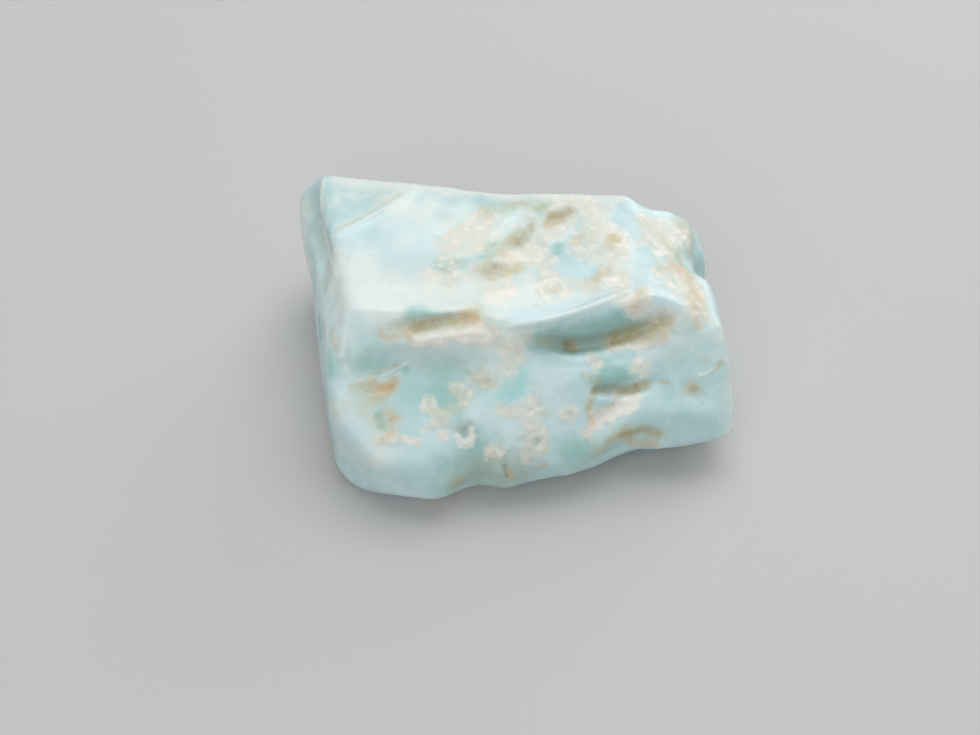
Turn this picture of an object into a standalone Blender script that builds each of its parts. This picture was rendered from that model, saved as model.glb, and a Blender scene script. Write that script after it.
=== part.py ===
"""A tumbled lump of rough larimar, lying on its worn sole.

The stone broke out of its vein as a block with flat faces, and tumbling then
rounded its edges. It is made in the same order. A block is cut by the planes
of its broken faces and its edges are worn round. Each hollow, groove, ledge
and swelling is then one stroke, pressed into the skin or drawn out of it.

Metres, +Z up. X runs along the stone, Y away from its long front face, and the
origin is under the middle of its box, on the surface it lies on.
"""

from math import pi

import bmesh
import bpy
import numpy as np
from mathutils import Vector, noise

# Driving dimension: the stone's length. Everything below is drawn in
# millimetres, and the drawing is then brought to this length as a whole.
LENGTH = 0.045

# How the skin is worked
ROUGH_BLOCK = 60.0
WORN_EDGE = 0.9
SKIN_STEP = 0.45
WEAR_PASSES = 4
TRIANGLES = 9600

# Tumbling has worn the low parts and the right end rounder than the rest.
# Each pair is where that begins and where it is full.
ROUNDER_BELOW = (14.0, 9.0)
ROUNDER_RIGHT_OF = (15.0, 19.0)
ROUNDER_PASSES = 18

# The lowest part of the sole is worn flat, to this height above its lowest point
SOLE_WEAR = 0.4

# Slow unevenness of the whole skin: wavelength and height
SWELLS = ((9.0, 0.35), (4.0, 0.12))

# Points drawn between two points of a stroke's path
PATH_STEPS = 24

# The broken faces: a point on each, and the way it faces
FACES = {
    "top": ((-1.0, -5.8, 17.3), (0.0, 0.05, 1.0)),
    "front_left_slope": ((-9.1, -6.1, 17.2), (-0.08, -0.705, 0.705)),
    "front_right_slope": ((1.0, -6.1, 17.2), (0.14, -0.74, 0.655)),
    "front_left_belly": ((-9.0, -17.9, 4.0), (-0.2, -0.97, 0.12)),
    "front_left_corner": ((-15.4, -14.7, 4.0), (-0.6, -0.79, 0.1)),
    "front_mid_belly": ((0.0, -16.8, 4.0), (0.2, -0.97, 0.05)),
    "front_right_belly": ((17.0, -14.5, 5.0), (0.17, -0.98, 0.1)),
    "front_left_undercut": ((-8.0, -17.1, 2.0), (0.0, -0.75, -0.66)),
    "front_right_undercut": ((15.0, -13.2, 3.6), (0.2, -0.55, -0.81)),
    "left_slope": ((-17.5, 6.5, 17.1), (-0.74, -0.13, 0.66)),
    "left_end": ((-19.5, 0.0, 8.0), (-0.98, -0.17, 0.06)),
    "left_undercut": ((-20.2, 2.0, 2.4), (-0.8, -0.1, -0.6)),
    "back": ((-2.6, 13.3, 16.0), (0.07, 0.97, 0.2)),
    "back_right": ((17.0, 12.2, 14.5), (0.22, 0.95, 0.22)),
    "back_left_chip": ((-19.5, 15.9, 6.0), (-0.5, 0.75, -0.43)),
    "back_undercut": ((0.0, 15.4, 4.0), (0.0, 0.75, -0.65)),
    "right_shoulder": ((14.4, 4.2, 16.7), (0.4, 0.08, 0.91)),
    "right_slope": ((22.0, 0.8, 12.5), (0.88, 0.12, 0.46)),
    "right_end": ((22.9, -7.0, 8.0), (0.98, 0.06, 0.1)),
    "right_back_corner": ((21.8, 11.0, 11.0), (0.8, 0.55, 0.2)),
    "right_undercut": ((22.6, -4.0, 2.8), (0.75, -0.1, -0.66)),
}

# The strokes. Each runs on a smooth curve through the points of its path, and
# moves the skin along push, by the depth at each point and less towards its
# edges. Its edges lie left and right of the path, as seen from outside. reach
# is how far off the path the skin may be. A negative depth draws the skin out.
# fade says how the stroke ends at its edges, or at its left and its right one:
# 1 leaves a crease, and 2 runs out smoothly. core is 1 for a stroke that is round
# along its path, and less for one with a crease there.
INTO_FRONT = (-0.06, 0.78, -0.62)
OUT_OF_FRONT = (0.15, -0.98, -0.15)
INTO_BELLY = (0.0, 0.98, 0.2)
INTO_TOP = (0.0, 0.0, -1.0)
INTO_LEFT = (0.8, 0.15, -0.58)
INTO_LEFT_END = (0.97, 0.2, 0.0)
INTO_RIGHT = (-0.9, -0.3, -0.2)
INTO_KNOB = (-0.8, -0.5, -0.2)
INTO_BACK = (0.0, -0.97, -0.2)
INTO_SOLE = (0.0, 0.0, 1.0)

STROKES = {
    # The ledge that overhangs the front slope, and the crest right of it
    "ledge": dict(
        path=((0.2, -6.6, 16.8), (3.6, -5.9, 16.8), (7.0, -5.2, 16.8), (10.2, -4.2, 16.8), (12.4, -3.2, 16.8)),
        depths=(0.6, 1.0, 0.6, 0.1, 0.0),
        push=OUT_OF_FRONT, left=3.0, right=1.6, reach=4.0, fade=1.2),
    "ledge_hollow": dict(
        path=((0.6, -8.0, 15.0), (3.6, -8.0, 14.0), (7.3, -7.6, 13.6),
              (11.0, -6.8, 13.6), (14.2, -5.4, 13.9), (16.8, -4.2, 14.4)),
        depths=(0.1, 1.3, 2.2, 2.4, 1.2, 0.1),
        push=INTO_FRONT, left=3.2, right=3.4, reach=7.0, fade=(1.3, 2.6), core=0.6),
    "right_crest": dict(
        path=((13.6, -3.4, 16.8), (16.2, -3.5, 16.2), (19.2, -4.2, 14.8)),
        depths=(-0.2, -0.7, -0.3),
        push=INTO_TOP, left=2.2, right=1.6, reach=3.0, fade=2.0),
    # The trough under the left part of the ridge
    "ridge_trough": dict(
        path=((-11.4, -7.4, 16.0), (-9.2, -7.0, 16.4), (-6.6, -6.7, 16.6), (-4.0, -6.5, 17.0), (-2.2, -6.4, 17.2)),
        depths=(0.1, 0.8, 0.9, 0.8, 0.2),
        push=INTO_FRONT, left=0.9, right=1.2, reach=3.0, fade=1.4),
    # The front slope sinks above the foot and swells out at it
    "slope_sink": dict(
        path=((-16.0, -10.8, 11.4), (-11.0, -10.4, 12.4), (-6.0, -10.6, 12.6), (0.0, -11.0, 13.0)),
        depths=(0.5, 1.1, 1.0, 0.1),
        push=INTO_FRONT, left=4.0, right=4.2, reach=5.0, fade=2.0),
    "foot_swell": dict(
        path=((-15.2, -15.4, 7.2), (-11.5, -15.9, 7.2), (-8.0, -15.8, 7.0), (-4.4, -15.2, 6.6)),
        depths=(-0.3, -0.6, -0.6, -0.1),
        push=INTO_FRONT, left=3.0, right=3.0, reach=4.0, fade=2.0),
    "middle_swell": dict(
        path=((1.0, -9.4, 13.8), (3.0, -13.0, 9.8), (4.0, -15.2, 6.0)),
        depths=(-0.1, -0.5, -0.2),
        push=INTO_FRONT, left=4.0, right=4.0, reach=5.0, fade=2.0),
    "grey_hollow": dict(
        path=((-4.0, -14.9, 7.4), (-3.4, -16.4, 4.6), (-3.0, -16.4, 2.0)),
        depths=(0.3, 1.1, 1.2),
        push=INTO_BELLY, left=3.6, right=4.4, reach=4.5, fade=2.0),
    "front_pit": dict(
        path=((8.2, -10.2, 10.6), (11.2, -9.8, 10.4), (14.2, -9.2, 10.2)),
        depths=(0.2, 0.9, 0.5),
        push=INTO_FRONT, left=1.0, right=1.2, reach=3.5, fade=1.5),
    "front_pit_spill": dict(
        path=((12.2, -10.4, 9.4), (9.6, -12.0, 8.0), (8.4, -13.0, 7.0)),
        depths=(0.5, 0.5, 0.1),
        push=INTO_FRONT, left=1.5, right=1.6, reach=3.5, fade=2.0),
    "right_belly_swell": dict(
        path=((12.8, -11.2, 8.8), (16.4, -11.2, 8.4), (20.0, -11.0, 7.6)),
        depths=(-0.2, -0.5, -0.3),
        push=INTO_FRONT, left=1.8, right=2.4, reach=4.0, fade=2.0),
    "lower_hollow": dict(
        path=((9.0, -13.4, 5.2), (12.0, -12.8, 5.8), (15.8, -12.6, 6.0)),
        depths=(0.4, 1.0, 0.3),
        push=INTO_BELLY, left=1.4, right=1.8, reach=4.0, fade=2.0),
    "under_notch": dict(
        path=((8.6, -14.2, 4.0), (12.4, -13.6, 4.0), (15.6, -13.4, 4.0)),
        depths=(0.5, 1.1, 0.3),
        push=INTO_BELLY, left=2.6, right=3.0, reach=4.0, fade=2.0),
    # The left end: a groove beside the top's sharp edge, a lobe and a notch
    "end_groove": dict(
        path=((-21.2, 13.6, 15.2), (-20.2, 9.4, 15.6), (-19.1, 5.3, 15.9), (-18.3, 1.8, 16.2)),
        depths=(0.2, 0.6, 0.9, 0.2),
        push=INTO_LEFT, left=0.9, right=1.8, reach=3.0, fade=1.5),
    "end_lobe": dict(
        path=((-22.4, 14.0, 12.6), (-22.4, 10.0, 11.8), (-21.6, 6.4, 11.6)),
        depths=(-0.8, -1.0, -0.4),
        push=INTO_LEFT_END, left=3.0, right=3.4, reach=4.0, fade=2.0),
    "end_notch": dict(
        path=((-20.6, 4.4, 12.4), (-20.6, 3.4, 8.0), (-20.4, 3.0, 4.0)),
        depths=(0.4, 0.7, 0.2),
        push=INTO_LEFT_END, left=2.6, right=2.6, reach=4.0, fade=2.0),
    "end_swell": dict(
        path=((-19.6, -2.0, 9.0), (-19.2, -5.0, 7.5), (-18.4, -9.0, 6.0)),
        depths=(-0.4, -0.6, -0.3),
        push=INTO_LEFT_END, left=3.4, right=3.4, reach=4.0, fade=2.0),
    # The top: a step across its far left corner, a shallow dish, a dent in its
    # far edge and the groove that parts the knob at the right from the rest
    "top_step": dict(
        path=((-18.0, 4.4, 17.3), (-14.0, 8.2, 17.1), (-10.2, 11.9, 16.8)),
        depths=(-0.25, -0.35, -0.25),
        push=INTO_TOP, left=3.6, right=0.5, reach=2.5, fade=1.6),
    "top_dish": dict(
        path=((-9.0, 2.4, 17.2), (-3.0, 4.0, 17.1), (3.0, 5.0, 17.0)),
        depths=(0.2, 0.4, 0.2),
        push=INTO_TOP, left=4.5, right=4.0, reach=3.0, fade=2.0),
    "far_corner_swell": dict(
        path=((-20.6, 14.6, 15.4), (-18.0, 14.4, 16.2), (-13.0, 14.0, 16.4)),
        depths=(-0.9, -0.8, -0.1),
        push=INTO_BACK, left=2.4, right=2.4, reach=4.0, fade=2.0),
    "back_edge_dent": dict(
        path=((-7.0, 13.2, 16.2), (-1.0, 12.8, 16.2), (5.0, 12.4, 16.2)),
        depths=(0.2, 0.8, 0.2),
        push=INTO_BACK, left=3.0, right=3.0, reach=3.0, fade=2.0),
    "knob_groove": dict(
        path=((10.0, 12.0, 16.4), (12.0, 7.2, 16.9), (13.7, 4.1, 16.8), (14.3, 1.3, 16.7), (13.6, -1.0, 17.0)),
        depths=(0.2, 0.35, 0.35, 0.3, 0.1),
        push=INTO_TOP, left=2.2, right=2.0, reach=3.0, fade=2.0),
    "knob_swell": dict(
        path=((18.8, 9.4, 13.8), (19.8, 8.0, 12.8), (20.4, 7.6, 9.0)),
        depths=(-0.1, -0.2, -0.1),
        push=INTO_KNOB, left=2.8, right=2.8, reach=4.0, fade=2.0),
    "knob_notch": dict(
        path=((20.4, 4.4, 14.2), (21.0, 4.3, 11.0), (21.6, 4.0, 7.0)),
        depths=(1.2, 1.4, 0.6),
        push=INTO_RIGHT, left=2.8, right=2.8, reach=4.0, fade=2.0),
    "knob_saddle": dict(
        path=((15.4, 11.8, 15.8), (15.8, 12.4, 12.0), (15.8, 13.0, 8.0)),
        depths=(0.9, 0.9, 0.4),
        push=INTO_BACK, left=2.6, right=2.2, reach=4.0, fade=2.0),
    # The back, which the photograph doesn't show: two broad scoops and a groove
    "back_scoop_left": dict(
        path=((-14.0, 15.6, 9.4), (-10.0, 15.4, 8.0), (-5.0, 15.2, 7.0)),
        depths=(0.7, 1.4, 0.7),
        push=INTO_BACK, left=4.2, right=4.0, reach=5.0, fade=2.0),
    "back_scoop_right": dict(
        path=((4.0, 14.6, 10.5), (8.0, 14.4, 8.0), (12.0, 14.0, 6.0)),
        depths=(0.6, 1.2, 0.7),
        push=INTO_BACK, left=3.6, right=4.0, reach=5.0, fade=2.0),
    "back_groove": dict(
        path=((-2.0, 13.6, 14.4), (0.6, 14.4, 10.6), (1.2, 15.0, 6.6)),
        depths=(0.2, 0.6, 0.2),
        push=INTO_BACK, left=1.2, right=1.6, reach=4.0, fade=1.5),
    # The sole rests on what these two hollows leave
    "sole_hollow_left": dict(
        path=((-11.0, -6.0, 0.0), (-7.0, -2.0, 0.0), (-4.0, 3.0, 0.0)),
        depths=(0.3, 0.6, 0.3),
        push=INTO_SOLE, left=3.2, right=3.0, reach=3.0, fade=2.0),
    "sole_hollow_right": dict(
        path=((8.0, 6.0, 0.0), (10.0, 2.0, 0.0), (12.0, -2.0, 0.0)),
        depths=(0.3, 0.5, 0.3),
        push=INTO_SOLE, left=2.6, right=3.4, reach=3.0, fade=2.0),
}


def cut_block():
    """A rough cube, cut by the plane of each broken face and by the surface it lies on."""
    bm = bmesh.new()
    bmesh.ops.create_cube(bm, size=ROUGH_BLOCK)
    bmesh.ops.translate(bm, vec=(0, 0, ROUGH_BLOCK / 2), verts=bm.verts)
    for point, facing in FACES.values():
        everything = bm.verts[:] + bm.edges[:] + bm.faces[:]
        bmesh.ops.bisect_plane(bm, geom=everything, plane_co=point, plane_no=facing, clear_outer=True)
        rim = [edge for edge in bm.edges if edge.is_boundary]
        bmesh.ops.contextual_create(bm, geom=rim)
    bmesh.ops.recalc_face_normals(bm, faces=bm.faces)
    mesh = bpy.data.meshes.new("larimar")
    bm.to_mesh(mesh)
    bm.free()
    return mesh


def apply_modifiers(stone):
    """Gives the stone the mesh that its modifiers make, and takes them off."""
    graph = bpy.context.evaluated_depsgraph_get()
    made = bpy.data.meshes.new_from_object(stone.evaluated_get(graph))
    stone.modifiers.clear()
    stone.data = made


def ramp(value, start, full):
    """0 at start, 1 at full, and evenly in between."""
    return min(max((value - start) / (full - start), 0), 1)


def wear(stone):
    """Gives the block an even skin of small faces with worn edges, rounder at the foot and the right end."""
    edges = stone.modifiers.new("worn_edges", "BEVEL")
    edges.width = WORN_EDGE
    edges.segments = 3
    edges.limit_method = "ANGLE"
    edges.angle_limit = pi / 18
    skin = stone.modifiers.new("skin", "REMESH")
    skin.mode = "VOXEL"
    skin.voxel_size = SKIN_STEP
    apply_modifiers(stone)
    rounder = stone.vertex_groups.new(name="rounder")
    for vertex in stone.data.vertices:
        x, _, z = vertex.co
        rounder.add([vertex.index], max(ramp(z, *ROUNDER_BELOW), ramp(x, *ROUNDER_RIGHT_OF)), "REPLACE")
    for name, passes, group in (("worn", WEAR_PASSES, ""), ("tumbled", ROUNDER_PASSES, "rounder")):
        smooth = stone.modifiers.new(name, "SMOOTH")
        smooth.factor = 0.5
        smooth.iterations = passes
        smooth.vertex_group = group
    apply_modifiers(stone)


def unit(vectors):
    """The vectors, each at length 1."""
    return vectors / np.linalg.norm(vectors, axis=-1, keepdims=True)


def smooth_path(points, depths):
    """A Catmull-Rom curve through the points and their depths, as closely spaced rows of x, y, z, depth."""
    rows = np.column_stack([points, depths])
    rows = np.vstack([2 * rows[0] - rows[1], rows, 2 * rows[-1] - rows[-2]])
    t = np.arange(PATH_STEPS)[:, None] / PATH_STEPS
    curve = []
    for a, b, c, d in zip(rows, rows[1:], rows[2:], rows[3:]):
        bend = a - 2.5 * b + 2 * c - d / 2
        twist = 1.5 * (b - c) + (d - a) / 2
        curve.append(b + t * (c - a) / 2 + t**2 * bend + t**3 * twist)
    return np.vstack([*curve, rows[-2]])


def press(skin, path, depths, push, left, right, reach, fade, core=1.0):
    """Moves the points of the skin along push, as far as one stroke along its path presses them."""
    rows = smooth_path(path, depths)
    centre = rows[:, :3]
    push = unit(np.array(push))
    along = unit(np.gradient(centre, axis=0))
    beside = unit(np.cross(push, along))
    nearest = np.argmin(((skin[:, None] - centre) ** 2).sum(axis=2), axis=1)
    offset = skin - centre[nearest]
    side = (offset * beside[nearest]).sum(axis=1)
    run = (offset * along[nearest]).sum(axis=1)
    far = (side / np.where(side < 0, left, right)) ** 2
    far += (2 * run / (left + right)) ** 2 + (offset @ push / reach) ** 2
    fade_left, fade_right = np.broadcast_to(fade, 2)
    share = (1 - np.minimum(far, 1) ** core) ** np.where(side < 0, fade_left, fade_right)
    return skin + np.outer(share * rows[nearest, 3], push)


def swell(skin, facing):
    """Slow unevenness over the whole skin, as broken and tumbled stone has."""
    lift = np.zeros(len(skin))
    for wavelength, height in SWELLS:
        lift += [height * noise.noise(Vector(point) / wavelength) for point in skin]
    return skin + facing * lift[:, None]


def points_of(mesh, layer="vertices", value="co"):
    """The mesh's points, or another vector of each, as rows."""
    rows = np.empty(len(mesh.vertices) * 3)
    getattr(mesh, layer).foreach_get(value, rows)
    return rows.reshape(-1, 3)


def move_points(mesh, skin):
    mesh.vertices.foreach_set("co", skin.ravel())
    mesh.update()


def shape_skin(mesh):
    """Presses every stroke into the worn block, then lets the skin swell a little."""
    skin = points_of(mesh)
    for stroke in STROKES.values():
        skin = press(skin, **stroke)
    move_points(mesh, skin)
    move_points(mesh, swell(skin, points_of(mesh, "vertex_normals", "vector")))


def lighten(stone):
    """Brings the skin down to a part's number of triangles, fewest where it is flat."""
    fewer = stone.modifiers.new("fewer_faces", "DECIMATE")
    fewer.decimate_type = "COLLAPSE"
    fewer.use_collapse_triangulate = True
    fewer.ratio = TRIANGLES / sum(len(face.vertices) - 2 for face in stone.data.polygons)
    apply_modifiers(stone)


def settle(mesh):
    """Wears the sole flat, puts the origin under the middle and brings the drawing to its length."""
    skin = points_of(mesh)
    floor = skin[:, 2].min() + SOLE_WEAR
    skin[:, 2] = np.maximum(skin[:, 2], floor) - floor
    low = skin.min(axis=0)
    high = skin.max(axis=0)
    skin[:, :2] -= (low + high)[:2] / 2
    move_points(mesh, skin * LENGTH / (high - low)[0])


def larimar_material():
    """Pale sea-blue stone with a waxy polish."""
    material = bpy.data.materials.new("larimar")
    material.use_nodes = True
    shader = material.node_tree.nodes["Principled BSDF"]
    shader.inputs["Base Color"].default_value = (0.50, 0.66, 0.63, 1)
    shader.inputs["Roughness"].default_value = 0.38
    shader.inputs["Metallic"].default_value = 0.0
    return material


def main():
    for old in list(bpy.data.objects):
        bpy.data.objects.remove(old, do_unlink=True)
    collection = bpy.data.collections.new("rough_larimar")
    bpy.context.scene.collection.children.link(collection)
    stone = bpy.data.objects.new("larimar_stone", cut_block())
    collection.objects.link(stone)
    wear(stone)
    shape_skin(stone.data)
    lighten(stone)
    settle(stone.data)
    stone.data.shade_smooth()
    stone.data.materials.append(larimar_material())


main()
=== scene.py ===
"""The looks of a rough larimar stone.

It is a tumbled lump of pale sea-blue stone with chalky crust and brown stains.
Its skin is a fine copy of its CAD solid. What the photograph shows on it is placed
by pixels of the photograph, each followed from the camera to the skin. The sides
that it doesn't show carry like marks, scattered with a fixed seed.
"""

from math import cos, pi, radians, sin

import bmesh
import bpy
import numpy as np
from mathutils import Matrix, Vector, noise
from mathutils.bvhtree import BVHTree


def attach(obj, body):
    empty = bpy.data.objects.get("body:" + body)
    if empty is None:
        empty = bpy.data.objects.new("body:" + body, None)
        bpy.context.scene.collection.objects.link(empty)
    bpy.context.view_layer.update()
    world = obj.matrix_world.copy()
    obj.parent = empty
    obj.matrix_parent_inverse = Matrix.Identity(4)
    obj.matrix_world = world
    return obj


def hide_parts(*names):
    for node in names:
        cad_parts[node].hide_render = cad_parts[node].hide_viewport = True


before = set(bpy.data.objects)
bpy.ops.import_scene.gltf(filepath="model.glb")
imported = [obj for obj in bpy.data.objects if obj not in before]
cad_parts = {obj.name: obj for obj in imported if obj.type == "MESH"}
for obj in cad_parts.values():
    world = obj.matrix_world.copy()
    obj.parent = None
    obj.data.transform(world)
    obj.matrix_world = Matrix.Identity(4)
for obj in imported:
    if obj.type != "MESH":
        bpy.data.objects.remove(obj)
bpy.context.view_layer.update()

bl_info = {
    "name": "Rough Larimar",
    "version": (1, 0, 0),
    "blender": (4, 5, 0),
    "location": "View3D > Sidebar > Larimar",
    "description": "Gives a tumbled lump of larimar its skin, crust, stains and polish",
    "category": "Object",
}

MM = 0.001

# The photograph's frame, and the lens that its view is worked out with
IMAGE_WIDTH = 980
IMAGE_HEIGHT = 735
SENSOR_WIDTH = 36.0
LENS = 50.0

# The finishes that marks are painted in, each an attribute of the skin. Haze, blue and chalk also carry
# painted highlights and painted light, and teal, grey and tan painted shade
FINISHES = ("haze", "blue", "teal", "turquoise", "grey", "cream", "chalk", "tan", "rust", "brown")

# The CAD solid's loose triangles are joined at corners closer than this, in metres
WELD_DISTANCE = 1e-6
# Levels of Subdivision Surface that round the solid's facets off
ROUNDING_LEVELS = 2

# A mark fades out this many widths from its path
REACH_OF_MARKS = 1.5
# Marks are painted along points this far apart, in millimetres
TRACE_STEP = 0.25
# Bends in the outlines of marks: how far apart they are in millimetres, and how
# far they reach as a part of the mark's width
BENDS = ((2.0, 0.45), (0.7, 0.25))
# Which way they bend: without a seed, the vector noise starts from the clock
BEND_SEED = 1

# Lumps of the skin's fine relief, in millimetres
SWELL_SIZE = 1.3
SWELL_HEIGHT = 0.03
GRAIN_SIZE = 0.6
# The crust stands up as its field goes from the first of these to the second, and
# the grain shifts the field by a part of this size, which frays the crust's edge
CRUST_EDGE = (0.25, 0.65)
CRUST_FRAY = 0.2

# Sides of the round floor
FLOOR_SIDES = 256


def mark(finish, width, *path, strength=1.0):
    """A mark of one finish along a path of photograph pixels.

    It reaches a width in millimetres to each side. A strength below 0 clears the finish away.
    """
    return {"finish": finish, "width": width, "path": path, "strength": strength}


def ring(x, y, radius, points=9):
    """Pixels on a circle, closed."""
    turns = [2 * pi * i / points for i in range(points + 1)]
    return [(x + radius * cos(turn), y + radius * sin(turn)) for turn in turns]


# Marks that the stone shows. Some of them are painted light: highlights along its rims, edges, ridge, ledge
# lip and foot, light under the trough and on the hollow's wall, the light and shadow along the step on the
# top, and shade in the left end's groove, the ledge hollow, on the knob's right side and along the bottom of
# the front
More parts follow.
